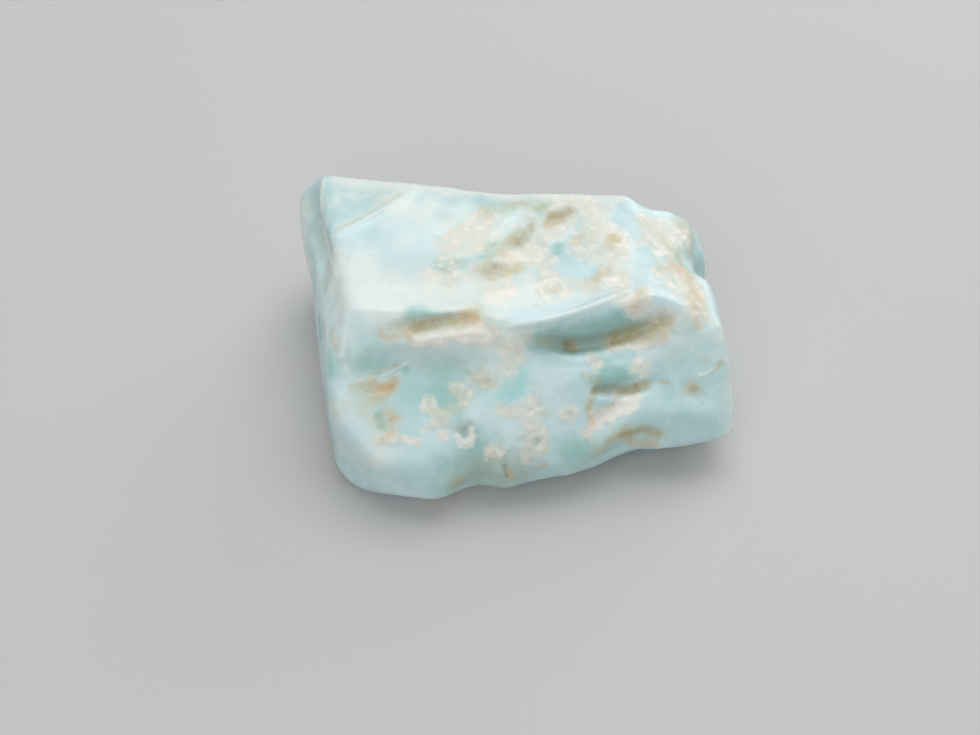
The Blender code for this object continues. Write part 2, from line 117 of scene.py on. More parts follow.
MARKS = {
    # The left end
    # Painted shade: grey-green down the groove between the left end's lobe and the top's edge
    "end_valley_shade": mark(
        "grey", 1.0, (311, 196), (316, 222), (323, 247), (328, 268), (326, 288), strength=0.6),
    "end_lobe_blush": mark("haze", 1.8, (302, 215), (303, 238), (307, 264)),
    "end_teal": mark("teal", 0.9, (319, 322), (321, 334)),
    "end_teal_low": mark("teal", 0.8, (330, 352), (332, 372), strength=0.6),
    "end_stain": mark("tan", 0.7, (332, 329), (335, 348), strength=0.7),
    "end_stain_low": mark("tan", 0.6, (321, 349), (322, 368), strength=0.5),
    "end_stain_foot": mark("tan", 0.8, (334, 404), (337, 415), strength=0.5),
    # The top, from its left corner to the right
    "step_shadow": mark(
        "tan", 0.6, (341, 228), (356, 219), (372, 210), (386, 202), (399, 194), strength=0.5),
    "step_light": mark(
        "chalk", 0.35, (332, 236), (350, 227), (366, 219), (393, 205), (415, 192), strength=0.5),
    # Painted highlight: a pale line along the top's left edge, where the edge catches the light
    "plateau_rim_highlight": mark(
        "haze", 0.35, (323, 180), (321, 198), (325, 232), (330, 256), (336, 277), strength=0.9),
    # Painted highlight down the left end's front edge
    "end_rim_highlight": mark("haze", 0.9, (346, 318), (345, 340), (343, 362), strength=0.7),
    "haze_far_left": mark("haze", 2.6, (345, 195), (370, 190), (405, 215), strength=0.5),
    "blue_pool": mark("blue", 2.6, (352, 240), (368, 238), (382, 245), (396, 229), strength=0.7),
    "blue_pool_low": mark("blue", 2.4, (405, 262), (418, 272), (430, 250), strength=0.6),
    "haze_left_far": mark("haze", 2.6, (340, 262), (345, 285), (352, 305), strength=0.7),
    "haze_left_mid": mark("haze", 3.0, (395, 250), (420, 262), (440, 240), strength=0.45),
    "haze_back": mark("haze", 2.4, (400, 212), (430, 205), (465, 212), strength=0.45),
    "haze_left": mark("haze", 3.6, (352, 268), (365, 296), (390, 300), strength=0.9),
    "haze_mid": mark("haze", 3.4, (420, 290), (440, 300), (470, 292), strength=0.9),
    "haze_right": mark("haze", 3.0, (500, 285), (530, 290), strength=0.8),
    "haze_right_low": mark("haze", 1.6, (505, 306), (545, 303), (585, 296), strength=0.8),
    "haze_right_far": mark("haze", 2.2, (590, 215), (615, 240), (632, 275), strength=0.6),
    "haze_middle": mark("haze", 2.4, (500, 250), (530, 262), (545, 240), strength=0.6),
    "haze_far": mark("haze", 2.6, (470, 240), (500, 232), (540, 222), strength=0.6),
    "haze_chalk": mark("haze", 0.9, (401, 243), (408, 240)),
    "top_teal": mark("teal", 1.3, (446, 264), (456, 263), strength=0.9),
    "ridge_teal": mark("teal", 0.9, (413, 312), (422, 311)),
    "ridge_teal_thin": mark("teal", 0.6, (430, 314), (446, 313), strength=0.6),
    "top_green": mark("grey", 1.0, (449, 218), (444, 214), strength=0.35),
    "top_green_low": mark("grey", 0.6, (444, 268), (446, 272), strength=0.7),
    "crust_left": mark("cream", 1.8, (462, 236), (472, 226), (484, 222), (478, 244)),
    "crust_left_low": mark("cream", 1.6, (448, 248), (452, 278), (430, 279), strength=0.8),
    "back_tan": mark("tan", 1.3, (484, 212), (503, 207), (522, 204), (540, 207), strength=0.7),
    "back_cream": mark("cream", 1.9, (560, 204), (580, 205), (600, 212)),
    "back_teal": mark("teal", 0.9, (541, 211), (546, 206), strength=0.7),
    "brown_far": mark("brown", 1.0, (556, 216), (567, 212)),
    "brown_far_tail": mark("tan", 0.9, (548, 224), (556, 219)),
    "brown_mid": mark("brown", 1.2, (517, 240), (524, 233), (528, 224), strength=0.8),
    "brown_left": mark("tan", 1.5, (482, 273), (494, 260), (507, 246), (516, 240), strength=0.7),
    "brown_left_core": mark("brown", 1.1, (487, 274), (496, 268), strength=0.75),
    "brown_under": mark("tan", 0.9, (497, 274), (508, 272), (519, 266)),
    "slate_left": mark("teal", 0.9, (482, 256), (494, 245), strength=0.7),
    "slate_right": mark("teal", 0.8, (539, 240), (543, 246), strength=0.7),
    "crust_centre": mark("chalk", 1.3, (507, 257), (514, 256)),
    "crust_band": mark("cream", 1.5, (520, 262), (534, 247), (548, 234), (566, 221)),
    "crust_low": mark("cream", 1.9, (500, 290), (520, 280), (528, 285), strength=0.8),
    "chalk_low": mark("chalk", 1.2, (494, 300), (506, 294), strength=0.8),
    "pool_mid": mark("blue", 1.5, (558, 253), (563, 244), (568, 262), strength=0.5),
    "pool_mid_clear": mark("cream", 1.0, (553, 254), (563, 245), (568, 262), (582, 270), strength=-0.6),
    "pool_low_clear": mark("cream", 1.0, (532, 300), (575, 302), (600, 296), strength=-1.0),
    "pool_left_clear": mark("cream", 0.8, (522, 276), (530, 270), strength=-0.8),
    "groove_clear": mark("cream", 0.9, (621, 215), (634, 238), (641, 262), (636, 280), strength=-0.9),
    "pool_teal": mark("teal", 0.9, (556, 253), (561, 246), strength=0.7),
    "pool_right": mark("blue", 1.5, (576, 268), (582, 272), strength=0.5),
    "cluster_left": mark("cream", 1.7, (545, 262), (538, 266)),
    "cluster_tan": mark("tan", 0.7, (576, 242), (580, 238), strength=0.8),
    "cluster_a": mark("cream", 1.9, (580, 246), (594, 252), (604, 238)),
    "cluster_b": mark("cream", 1.9, (612, 254), (622, 248), (596, 232)),
    "cluster_c": mark("cream", 1.4, (612, 230), (618, 236)),
    "cluster_spot": mark("tan", 0.8, (614, 238), (617, 240)),
    "cluster_spot_low": mark("tan", 0.6, (608, 244), (610, 248), strength=0.8),
    "ring_patch_clear": mark(
        "cream", 1.0, (527, 272), (526, 290), (536, 306), (556, 309), (576, 298), strength=-1.0),
    "ring_patch": mark("cream", 1.5, (545, 291), (561, 290)),
    "ring_patch_lobe": mark("cream", 0.9, (555, 277), (552, 282)),
    "ring_patch_rim": mark("chalk", 0.4, *ring(553, 291, 12), strength=0.75),
    "ring_patch_core": mark("tan", 0.6, (549, 290), (556, 292), strength=0.35),
    "round_patch": mark("cream", 2.0, (596, 284), (606, 279), (618, 282)),
    "round_patch_tan": mark("tan", 0.8, (592, 280), (599, 273), (608, 271), strength=0.8),
    "round_patch_core": mark("chalk", 0.9, (611, 282)),
    "low_dot": mark("cream", 0.6, (536, 306), (538, 307)),
    "ledge_grains": mark("tan", 0.6, (641, 291), (640, 298), (634, 307), strength=0.6),
    "ledge_crust": mark("cream", 0.9, (646, 291), (640, 304), (632, 310)),
    # The knob and the right end
    "knob_blue": mark("blue", 1.0, (600, 198), (621, 226), (641, 249), (646, 266), (643, 284), strength=0.5),
    # Painted highlight along the rounded edge of the ledge
    "ledge_white_highlight": mark("haze", 0.7, (545, 318), (575, 309), (602, 300), (626, 289), strength=0.8),
    "crest_white": mark("haze", 1.2, (652, 300), (668, 302), (684, 308), strength=0.7),
    "knob_haze": mark("haze", 2.0, (650, 222), (668, 232), (680, 250), strength=0.35),
    # Painted highlights: the bright rim along the back edge, which reflects the light behind the stone, and
    # a pale line down the right edge
    "back_rim_highlight": mark("haze", 1.1, (340, 179), (400, 185), (470, 192), (560, 196), (618, 197)),
    "back_rim_white_highlight": mark("chalk", 0.8, (345, 180), (400, 186), (470, 193), (555, 196), strength=0.3),
    "right_rim_highlight": mark("haze", 1.0, (718, 322), (729, 365), (732, 405), (730, 432), strength=0.7),
    "knob_cream_far": mark("cream", 1.2, (645, 218), (650, 222), strength=0.9),
    "knob_cream": mark("cream", 2.2, (650, 240), (662, 236), (674, 236)),
    "knob_tan": mark("tan", 1.4, (650, 228), (660, 236), (668, 246), strength=0.6),
    "knob_cream_top": mark("cream", 1.3, (664, 222), (675, 226), strength=0.8),
    "knob_chalk": mark("chalk", 0.7, (658, 253), (669, 253), strength=0.7),
    # Painted shade: grey-green and tan darkening the knob's right side, which faces away from the light
    "knob_olive_shade": mark("grey", 1.3, (683, 224), (687, 232), (689, 246)),
    "knob_tan_shade": mark("tan", 1.1, (684, 222), (690, 234), strength=0.5),
    "knob_rust_left": mark("rust", 1.0, (661, 266), (672, 266), strength=0.6),
    "knob_rust": mark("rust", 1.2, (676, 260), (682, 268), strength=0.8),
    "knob_rust_low": mark("rust", 1.5, (684, 278), (694, 288), strength=0.45),
    "knob_cream_low": mark("cream", 1.7, (684, 278), (694, 292), (698, 312)),
    "knob_rust_tail": mark("rust", 0.9, (697, 300), (698, 312), (697, 322), strength=0.5),
    "knob_tan_tail": mark("tan", 1.3, (682, 262), (692, 286), (699, 308), strength=0.5),
    "knob_cream_mid": mark("cream", 1.8, (664, 275), (674, 284), (686, 290)),
    "right_stain": mark("tan", 0.7, (688, 388), (698, 388)),
    "right_stain_core": mark("brown", 0.35, (691, 388), (697, 388), strength=0.7),
    "right_stain_small": mark("tan", 0.35, (662, 381), (666, 382)),
    "right_streak": mark("chalk", 0.25, (700, 375), (708, 372), (716, 367), strength=0.8),
    "right_streak_tan": mark("tan", 0.4, (716, 367), (721, 363)),
    "right_line": mark("tan", 0.3, (696, 360), (710, 361), strength=0.6),
    # The trough under the left part of the ridge
    "trough_brown": mark("brown", 0.7, (418, 328), (434, 323), (451, 319), (464, 317), strength=0.45),
    "trough_tan": mark("tan", 0.95, (412, 329), (434, 324), (462, 320), (474, 318)),
    "trough_end": mark("cream", 1.6, (473, 318), (480, 324), (483, 331)),
    "trough_end_white": mark("chalk", 0.8, (478, 326), (484, 332), strength=0.7),
    "trough_end_rust": mark("rust", 0.45, (467, 315), (476, 317), strength=0.7),
    "trough_lip": mark("cream", 0.9, (407, 332), (418, 341), (430, 337), (446, 335), (466, 332), (482, 334)),
    "trough_lip_chalk": mark(
        "chalk", 0.6, (415, 344), (430, 339), (448, 337), (466, 334), (484, 333), strength=0.85),
    "trough_smudge": mark("tan", 1.0, (382, 335), (394, 336), (405, 335), strength=0.8),
    # The ledge hollow. Its teal and grey marks darken the undercut below the ledge, partly the stone's own
    # teal and partly painted shade; its brown, tan and rust marks are stains
    "hollow_shade": mark(
        "teal", 1.7, (545, 338), (575, 338), (605, 334), (630, 326), (655, 318), strength=0.9),
    # Painted shade: grey deep in the undercut
    "hollow_grey_shade": mark("grey", 1.2, (548, 340), (575, 341), (600, 338), strength=0.8),
    "hollow_tail": mark("tan", 0.6, (528, 336), (540, 341), (548, 345), strength=0.5),
    "hollow_spot": mark("brown", 0.6, (567, 346), (573, 348)),
    "hollow_spot_rust": mark("rust", 0.5, (571, 345), (575, 347), strength=0.7),
    "hollow_brown": mark("brown", 0.9, (613, 339), (632, 334), (650, 327), (664, 321), strength=0.8),
    "hollow_tan": mark("tan", 1.3, (614, 343), (632, 338), (650, 331), (666, 323), strength=0.9),
    "hollow_lip": mark("cream", 0.9, (610, 347), (622, 346), (645, 342), (662, 336)),
    "hollow_lip_chalk": mark("chalk", 0.4, (612, 350), (628, 349), (646, 345), strength=0.7),
    # Teal and grey down the undercut, partly the stone's own teal and partly painted shade
    "hollow_upper_teal_and_shade": mark("teal", 1.0, (545, 334), (560, 332), (590, 328), (625, 318), strength=0.5),
    "hollow_deep_teal_and_shade": mark("teal", 1.2, (545, 341), (575, 344), (603, 343)),
    "hollow_dark_shade": mark("grey", 0.9, (556, 340), (585, 342), (610, 335), (640, 324), strength=0.7),
    # Painted light: creamy white on the hollow's upper wall, brightening it where the skin turns it into
    # shade
    "hollow_wall_painted_light": mark("haze", 2.2, (636, 303), (652, 305), (670, 310)),
    "hollow_wall_clear": mark("teal", 1.6, (642, 306), (655, 307), (672, 312), strength=-1.0),
    "hollow_slope": mark("blue", 1.4, (552, 360), (580, 364), (605, 360), strength=0.9),
    # The front, from the middle to the right
    "front_teal": mark("teal", 1.6, (606, 374), (617, 376)),
    "front_cream": mark("cream", 0.85, (594, 360), (597, 364)),
    "front_cream_right": mark("cream", 0.9, (637, 369), (642, 366)),
    "front_line": mark("tan", 0.4, (583, 375), (592, 379), (600, 381), strength=0.7),
    "pit_brown": mark("brown", 0.65, (597, 390), (612, 389), (625, 391), (634, 389)),
    "pit_tan": mark("tan", 0.75, (636, 388), (645, 386)),
    "pit_line": mark("tan", 0.45, (593, 394), (590, 408)),
    "pit_blue": mark("blue", 0.9, (607, 398), (612, 400)),
    "spill_crust": mark("cream", 1.2, (626, 399), (617, 405), (606, 415)),
    "spill_chalk": mark("chalk", 0.8, (638, 399), (622, 407), (609, 415), (594, 424)),
    "spill_tip": mark("cream", 0.8, (594, 422), (587, 434)),
    "spill_rust": mark("rust", 0.4, (589, 412), (592, 424), strength=0.8),
    "swell_blue": mark("blue", 2.0, (640, 411), (655, 410), strength=0.8),
    "low_brown": mark("brown", 1.0, (626, 434), (642, 430), (655, 432), strength=0.7),
    "low_tan": mark("tan", 1.2, (601, 450), (613, 440), (626, 433), (645, 433), (658, 434), strength=0.8),
    "low_lip": mark("rust", 0.55, (626, 437), (632, 443), (645, 444), (655, 443), strength=0.8),
    "low_teal": mark("teal", 1.7, (573, 450), (584, 448), strength=0.7),
    # The front, its middle
    "mid_tan": mark("cream", 1.4, (510, 348), (513, 356), strength=0.8),
    "mid_patch": mark("cream", 1.9, (478, 378), (490, 376), (503, 374), strength=0.6),
    "mid_patch_tan": mark("tan", 0.9, (476, 380), (488, 384), strength=0.5),
    "mid_trail": mark("cream", 0.8, (456, 386), (459, 394), (464, 402), strength=0.8),
    "mid_turquoise": mark("turquoise", 1.4, (520, 378), (514, 387), (507, 397), strength=0.6),
    "mid_dot": mark("cream", 0.9, (506, 410), (508, 409)),
    "mid_cream": mark("cream", 1.3, (532, 402), (528, 414), (530, 426), strength=0.85),
    "mid_cream_tan": mark("tan", 0.7, (542, 413), (546, 414), strength=0.5),
    "mid_cream_right": mark("cream", 0.95, (566, 415), (571, 415)),
    "mid_ring": mark("cream", 0.85, *ring(537, 443, 8)),
    "mid_ring_core": mark("teal", 0.6, (537, 442)),
    "mid_ring_tail": mark("cream", 0.8, (530, 450), (528, 458), strength=0.8),
    "matrix_dot": mark("cream", 1.0, (494, 452), (498, 453), strength=0.9),
    "matrix": mark("grey", 2.4, (478, 468), (488, 470), (505, 468), (515, 470), strength=0.8),
    "matrix_low": mark("grey", 2.0, (482, 478), (500, 479), (512, 477), strength=0.7),
    "slit_brown": mark("brown", 0.2, (505, 467), (507, 477), strength=1.2),
    "slit_side": mark("rust", 0.4, (510, 470), (511, 477), strength=0.7),
    "matrix_rust": mark("rust", 0.6, (541, 467), strength=0.6),
    "matrix_tan": mark("tan", 1.0, (452, 480), (458, 482), strength=0.7),
    "foot_teal": mark("teal", 2.2, (478, 448), (490, 462), (470, 470), strength=0.8),
    "foot_teal_left": mark("teal", 1.6, (440, 462), (450, 458), strength=0.5),
    # Teal along the bottom of the front, partly the stone's deeper teal and partly painted shade, darker
    # towards the bottom edge
    "foot_teal_and_shade": mark(
        "teal", 1.8, (440, 484), (480, 484), (530, 478), (570, 466), (610, 454), strength=0.4),
    # The front, its left
    "slope_green": mark("teal", 2.2, (362, 358), (372, 362), strength=0.5),
    "slope_green_wide": mark("teal", 3.4, (366, 362), (400, 364), (435, 368), strength=0.2),
    "slope_teal": mark("teal", 3.0, (452, 370), (475, 368), strength=0.45),
    "slope_teal_low": mark("teal", 2.4, (418, 388), (430, 386), strength=0.3),
    "slope_teal_mid": mark("teal", 1.6, (446, 398), (452, 396), strength=0.7),
    "rust_streak": mark("tan", 0.7, (353, 387), (366, 385), (380, 387), (396, 384), strength=0.9),
    "rust_deep": mark("tan", 1.1, (372, 395), (384, 397), strength=0.7),
    "rust_warm": mark("rust", 0.9, (376, 391), (386, 390), (392, 386), strength=0.5),
    "rust_core": mark("rust", 0.55, (388, 389), (396, 383), strength=0.9),
    "rust_core_dark": mark("brown", 0.4, (389, 389), (395, 385), strength=0.5),
    "rust_haze": mark("tan", 1.3, (357, 404), (366, 412), strength=0.5),
    "white_streak": mark("chalk", 0.22, (368, 379), (385, 375), (395, 370), (406, 364), strength=0.6),
    "white_streak_tan": mark("tan", 0.35, (372, 374), (386, 370), (398, 364), strength=0.6),
    "white_streak_low": mark("cream", 0.4, (358, 380), (372, 380), strength=0.7),
    "streak_teal": mark("teal", 0.45, (406, 370)),
    "low_rust": mark("rust", 0.9, (391, 417), (395, 420), strength=0.8),
    "low_rust_tan": mark("tan", 1.3, (384, 426), (388, 434), strength=0.6),
    "low_teal_dot": mark("teal", 0.55, (379, 415)),
    "low_teal_dot_b": mark("teal", 0.45, (382, 426)),
    "cream_line": mark("cream", 0.5, (376, 439), (396, 438), (407, 440), (418, 442)),
    # Painted highlight on the rounded crest of the left foot
    "low_haze_highlight": mark("haze", 1.8, (382, 446), (388, 456), strength=0.5),
    "curl_a": mark("cream", 0.55, (424, 407), (425, 401), (430, 400), (432, 406)),
    "curl_b": mark("cream", 0.5, (434, 424), (440, 420), (446, 424)),
    "curl_line": mark(
        "cream", 0.5, (434, 412), (446, 413), (455, 408), (463, 400), (470, 392), strength=0.7),
    "curl_line_low": mark("cream", 0.45, (421, 430), (430, 428), (436, 421), (440, 416), strength=0.6),
    "curl_tan": mark("tan", 0.7, (436, 412), (450, 410), strength=0.4),
    "curl_teal": mark("teal", 0.8, (444, 420), (450, 424), (458, 418), strength=0.6),
    "curl_c": mark("cream", 0.55, (440, 436), (445, 436)),
    "white_curl": mark(
        "chalk", 0.5, (458, 437), (462, 443), (469, 443), (473, 437), (472, 431), strength=0.85),
    "curl_grey": mark("grey", 0.9, (464, 430), (468, 428), strength=0.9),
    # Painted highlights: a bright bluish-white spot and a pale band on the rounded crest of the left foot
    "foot_highlight": mark("blue", 2.4, (346, 430), (352, 440), strength=0.9),
    "foot_haze_highlight": mark("haze", 2.6, (346, 426), (352, 442), (366, 454), strength=0.8),
    "right_haze": mark("haze", 2.8, (645, 355), (675, 345), (700, 340), strength=0.4),
    # Painted highlight on the same crest of the foot
    "foot_blue_highlight": mark("blue", 2.6, (410, 452), (425, 450), strength=0.8),
    # Painted highlight: a pale blue line on the ridge between the top and the front
    "ridge_blue_highlight": mark("blue", 1.9, (350, 326), (372, 330), (400, 348), strength=0.7),
    # Painted light: pale blue and creamy white under the trough's lip, brightening the skin where it turns
    # down into shade
    "under_trough_painted_light": mark("blue", 2.6, (425, 350), (455, 348), (485, 349), (500, 356), strength=0.5),
    "under_trough_light": mark("haze", 2.2, (410, 347), (440, 346), (482, 346), (518, 338), strength=0.9),
    "ridge_light": mark("haze", 1.0, (346, 323), (372, 326), (400, 330), strength=0.8),
    # Painted highlight: a pale blue band on the rounded lip above the ledge's edge
    "ledge_band_highlight": mark(
        "blue", 1.1, (520, 316), (550, 311), (578, 303), (602, 293), (626, 285), strength=0.9),
    "crest_blue": mark("blue", 1.6, (655, 297), (672, 298), (686, 306), strength=0.9),
}

# Low and high places too fine for the CAD solid: height and half width in
# millimetres, then the path in photograph pixels
RELIEF = {
    "plateau_edge": (0.10, 0.45, (323, 180), (321, 198), (325, 232), (330, 256), (336, 277)),
    "end_edge": (0.15, 0.9, (346, 318), (344, 338), (343, 356)),
    "knob_notch": (-0.6, 2.2, (700, 250), (700, 270)),
    "shoulder": (-0.35, 1.8, (658, 291), (680, 300), (698, 312), (706, 318)),
    "step_shadow": (-0.07, 0.5, (341, 228), (372, 210), (399, 194)),
    "step_light": (0.07, 0.45, (336, 234), (366, 219), (393, 205), (412, 194)),
    "ledge_edge": (0.22, 0.6, (512, 326), (530, 324), (552, 319), (576, 312), (601, 302), (626, 292)),
    "hollow_core": (-0.18, 1.2, (545, 341), (570, 344), (600, 341), (630, 333), (658, 320)),
    "hollow_spot": (-0.2, 0.6, (566, 349), (573, 350)),
    "hollow_rim": (0.3, 1.3, (538, 348), (560, 357), (585, 358), (606, 353), (640, 344), (662, 332)),
    "trough_floor": (-0.2, 0.9, (416, 329), (434, 324), (451, 320), (464, 317)),
    "trough_lip": (0.14, 0.45, (408, 333), (418, 342), (430, 338), (446, 336), (466, 333), (482, 334)),
    "pit_floor": (-0.25, 0.8, (597, 390), (612, 389), (625, 391), (634, 389), (644, 386)),
    "pit_rim": (0.1, 0.45, (602, 399), (618, 402), (638, 398)),
    "low_floor": (-0.15, 0.9, (610, 443), (628, 435), (650, 433)),
    "low_rim": (0.08, 0.4, (626, 441), (640, 446), (655, 444)),
    "slit": (-0.25, 0.35, (505, 467), (507, 478)),
    "rust_hollow": (-0.15, 0.6, (370, 392), (390, 388)),
    "white_curl": (0.1, 0.35, (458, 437), (462, 443), (469, 443), (473, 437)),
    "curl_pit": (-0.25, 0.45, (465, 433), (467, 436)),
    "round_patch_ring": (-0.08, 0.35, *ring(611, 282, 7)),
    "ring_patch_rim": (0.07, 0.35, *ring(553, 291, 12)),
    "ring_patch_pit": (-0.08, 0.7, (550, 291), (556, 291)),
    "mid_ring": (0.07, 0.4, *ring(537, 443, 8)),
    "mid_ring_pit": (-0.2, 0.45, (538, 443)),
}

# Dark pits as fine as a needle's point, in photograph pixels
PITS = (
    (433, 236), (347, 257), (554, 290), (549, 266), (611, 283), (541, 447), (492, 271), (466, 429),
    (476, 434), (470, 315), (476, 318), (579, 286), (601, 264), (585, 262), (504, 262), (518, 232),
    (567, 214), (640, 296), (634, 307), (662, 242), (676, 262), (691, 291), (530, 410), (534, 425),
    (570, 414), (597, 362), (612, 406), (600, 417), (641, 367), (428, 404), (488, 380), (510, 350),
    (444, 267), (455, 264), (382, 438), (391, 420),
)
PIT_WIDTH = 0.3
PIT_DEPTH = 0.1
PIT_STAIN_WIDTH = PIT_WIDTH * 0.6
PIT_STAIN_STRENGTH = 0.6

# Marks scattered on the sides that the photograph doesn't show: how many, then
# their half widths and lengths in millimetres and their strengths, each from and to
SCATTERED = {
    "teal": (16, (1.2, 3.2), (1.0, 4.0), (0.4, 0.8)),
    "turquoise": (4, (0.8, 1.4), (1.0, 3.0), (0.7, 1.0)),
    "blue": (14, (1.6, 3.4), (2.0, 6.0), (0.5, 0.9)),
    "grey": (7, (1.2, 2.4), (2.0, 5.0), (0.5, 0.9)),
    "haze": (12, (1.2, 2.6), (2.0, 6.0), (0.5, 0.9)),
    "cream": (44, (0.7, 2.0), (1.0, 4.5), (0.6, 1.0)),
    "chalk": (9, (0.6, 1.1), (1.0, 3.0), (0.3, 0.7)),
    "tan": (20, (0.6, 1.3), (1.0, 4.0), (0.5, 0.9)),
    "rust": (8, (0.5, 1.2), (0.8, 3.0), (0.4, 0.8)),
    "brown": (8, (0.5, 0.9), (1.0, 3.0), (0.5, 0.9)),
}
SCATTERED_PITS = 22
PIT_SPREAD = (0.9, 1.6)

# A scattered mark's path has this many steps, each swerving this much from the last
TRAIL_STEPS = 6
TRAIL_SWERVE = 0.6

# The sides count as unseen where the skin turns further from the camera than this,
# from -1 where it faces the camera to 0 at its outline, and marks fade in around it
EDGE_OF_VIEW = -0.1
FADE_AT_EDGE = 0.1


class RoughLarimarSettings(bpy.types.PropertyGroup):
    """Sizes and colours of the stone's skin."""

    skin_step: bpy.props.FloatProperty(
        name="Skin step", description="Size of the skin's faces", default=0.00025, min=0.0001, unit="LENGTH")
    smooth_passes: bpy.props.IntProperty(
        name="Smooth passes", description="How often the skin is evened out", default=9, min=0)
    crust_height: bpy.props.FloatProperty(
        name="Crust height", description="How far the chalky crust stands up",
        default=0.00004, unit="LENGTH")
    crust_grain: bpy.props.FloatProperty(
        name="Crust grain", description="Roughness of the crust's surface", default=0.00005, unit="LENGTH")
    polish: bpy.props.FloatProperty(
        name="Polish", description="Roughness of the polished stone",
        default=0.34, min=0, max=1, subtype="FACTOR")
    wax: bpy.props.FloatProperty(
        name="Wax", description="Weight of the waxy layer on top",
        default=0.2, min=0, max=1, subtype="FACTOR")
    wax_roughness: bpy.props.FloatProperty(
        name="Wax roughness", description="Roughness of the waxy layer",
        default=0.22, min=0, max=1, subtype="FACTOR")
    crust_dullness: bpy.props.FloatProperty(
        name="Crust dullness", description="Roughness of the crust",
        default=0.62, min=0, max=1, subtype="FACTOR")
    glow: bpy.props.FloatProperty(
        name="Glow", description="How much light enters the stone",
        default=0.12, min=0, max=1, subtype="FACTOR")
    glow_depth: bpy.props.FloatProperty(
        name="Glow depth", description="How far light travels in the stone", default=0.0012, unit="LENGTH")
    seed: bpy.props.IntProperty(
        name="Seed", description="Which marks the unseen sides carry", default=7)
    sea: bpy.props.FloatVectorProperty(
        name="Sea", description="The stone's own pale blue", default=(0.45, 0.67, 0.68), subtype="COLOR")
    cloud: bpy.props.FloatVectorProperty(
        name="Cloud", description="White clouds in the stone", default=(0.64, 0.81, 0.825), subtype="COLOR")
    # Also the colour of painted highlights on the ridge, the ledge lip and the foot, and of painted light
    # under the trough
    blue: bpy.props.FloatVectorProperty(
        name="Blue", description="Bluish white places", default=(0.52, 0.70, 0.745), subtype="COLOR")
    # Also the colour of painted shade in the ledge hollow and along the bottom of the front
    teal: bpy.props.FloatVectorProperty(
        name="Teal", description="Green-blue places", default=(0.27, 0.53, 0.48), subtype="COLOR")
    turquoise: bpy.props.FloatVectorProperty(
        name="Turquoise", description="The strongest blue", default=(0.20, 0.64, 0.65), subtype="COLOR")
    # Also the colour of painted shade in the left end's groove, the ledge hollow and on the knob's right
    # side
    grey: bpy.props.FloatVectorProperty(
        name="Grey", description="Grey-green matrix", default=(0.36, 0.44, 0.38), subtype="COLOR")
    # Also the colour of painted highlights along the rims, edges and foot, and of painted light under the
    # trough and on the hollow's wall
    haze: bpy.props.FloatVectorProperty(
        name="Haze", description="Creamy white clouds near the crust",
        default=(0.76, 0.81, 0.76), subtype="COLOR")
    cream: bpy.props.FloatVectorProperty(
        name="Cream", description="Chalky crust", default=(0.76, 0.66, 0.52), subtype="COLOR")
    # Also the colour of the painted highlight along the back rim and the light line along the step
    chalk: bpy.props.FloatVectorProperty(
        name="Chalk", description="The whitest crust", default=(0.86, 0.84, 0.77), subtype="COLOR")
    # Also the colour of the painted shadow along the step and of painted shade on the knob's right side
    tan: bpy.props.FloatVectorProperty(
        name="Tan", description="Light stains", default=(0.52, 0.43, 0.20), subtype="COLOR")
    rust: bpy.props.FloatVectorProperty(
        name="Rust", description="Orange stains", default=(0.66, 0.41, 0.15), subtype="COLOR")
    brown: bpy.props.FloatVectorProperty(
        name="Brown", description="Dark stains in the hollows", default=(0.32, 0.26, 0.10), subtype="COLOR")


class StageSettings(bpy.types.PropertyGroup):
    """The plain floor, the soft lights and the camera."""

    floor_size: bpy.props.FloatProperty(
        name="Floor size", description="Width of the round floor, which ends where it is as dim as the room",
        default=1.16, unit="LENGTH")
    floor_colour: bpy.props.FloatVectorProperty(
        name="Floor colour", description="Pale grey of the floor",
        default=(0.55, 0.55, 0.55), subtype="COLOR")
    elevation: bpy.props.FloatProperty(
        name="Camera elevation", description="How steeply the camera looks down",
        default=radians(50), unit="ROTATION")
    distance: bpy.props.FloatProperty(
        name="Camera distance", description="From the camera to what it looks at",
        default=0.1396, unit="LENGTH")
    aim: bpy.props.FloatVectorProperty(
        name="Camera aim", description="What the camera looks at", default=(-0.00196, -0.0030, 0.00648),
        subtype="TRANSLATION", unit="LENGTH")
    key_power: bpy.props.FloatProperty(
        name="Key light", description="Power of the large light above the stone", default=1.9, unit="POWER")
    rim_power: bpy.props.FloatProperty(
        name="Rim light", description="Power of the low window behind the right end",
        default=1.0, unit="POWER")
    fill_power: bpy.props.FloatProperty(
        name="Fill light", description="Power of the room's light in front", default=1.45, unit="POWER")
    room_light: bpy.props.FloatProperty(
        name="Room light", description="Strength of the light from all round", default=0.36)


class PhotoView:
    """The photograph's view of the stone, in millimetres."""

    def __init__(self, stage):
        self.forward = Vector((0, cos(stage.elevation), -sin(stage.elevation)))
        self.right = Vector((1, 0, 0))
        self.up = self.right.cross(self.forward)
        self.eye = Vector(stage.aim) / MM - self.forward * stage.distance / MM
        self.focal = LENS / SENSOR_WIDTH * IMAGE_WIDTH

    def ray(self, pixel):
        """The way that a pixel of the photograph looks."""
        across = pixel[0] - IMAGE_WIDTH / 2
        above = IMAGE_HEIGHT / 2 - pixel[1]
        return (self.forward * self.focal + self.right * across + self.up * above).normalized()


def add_object(name, data):
    """Puts a mesh, a lamp or a camera in the scene as an object."""
    piece = bpy.data.objects.new(name, data)
    bpy.context.scene.collection.objects.link(piece)
    return piece


def apply_modifiers(piece):
    """Gives the piece the mesh that its modifiers make, and takes them off."""
    graph = bpy.context.evaluated_depsgraph_get()
    made = bpy.data.meshes.new_from_object(piece.evaluated_get(graph))
    piece.modifiers.clear()
    piece.data = made


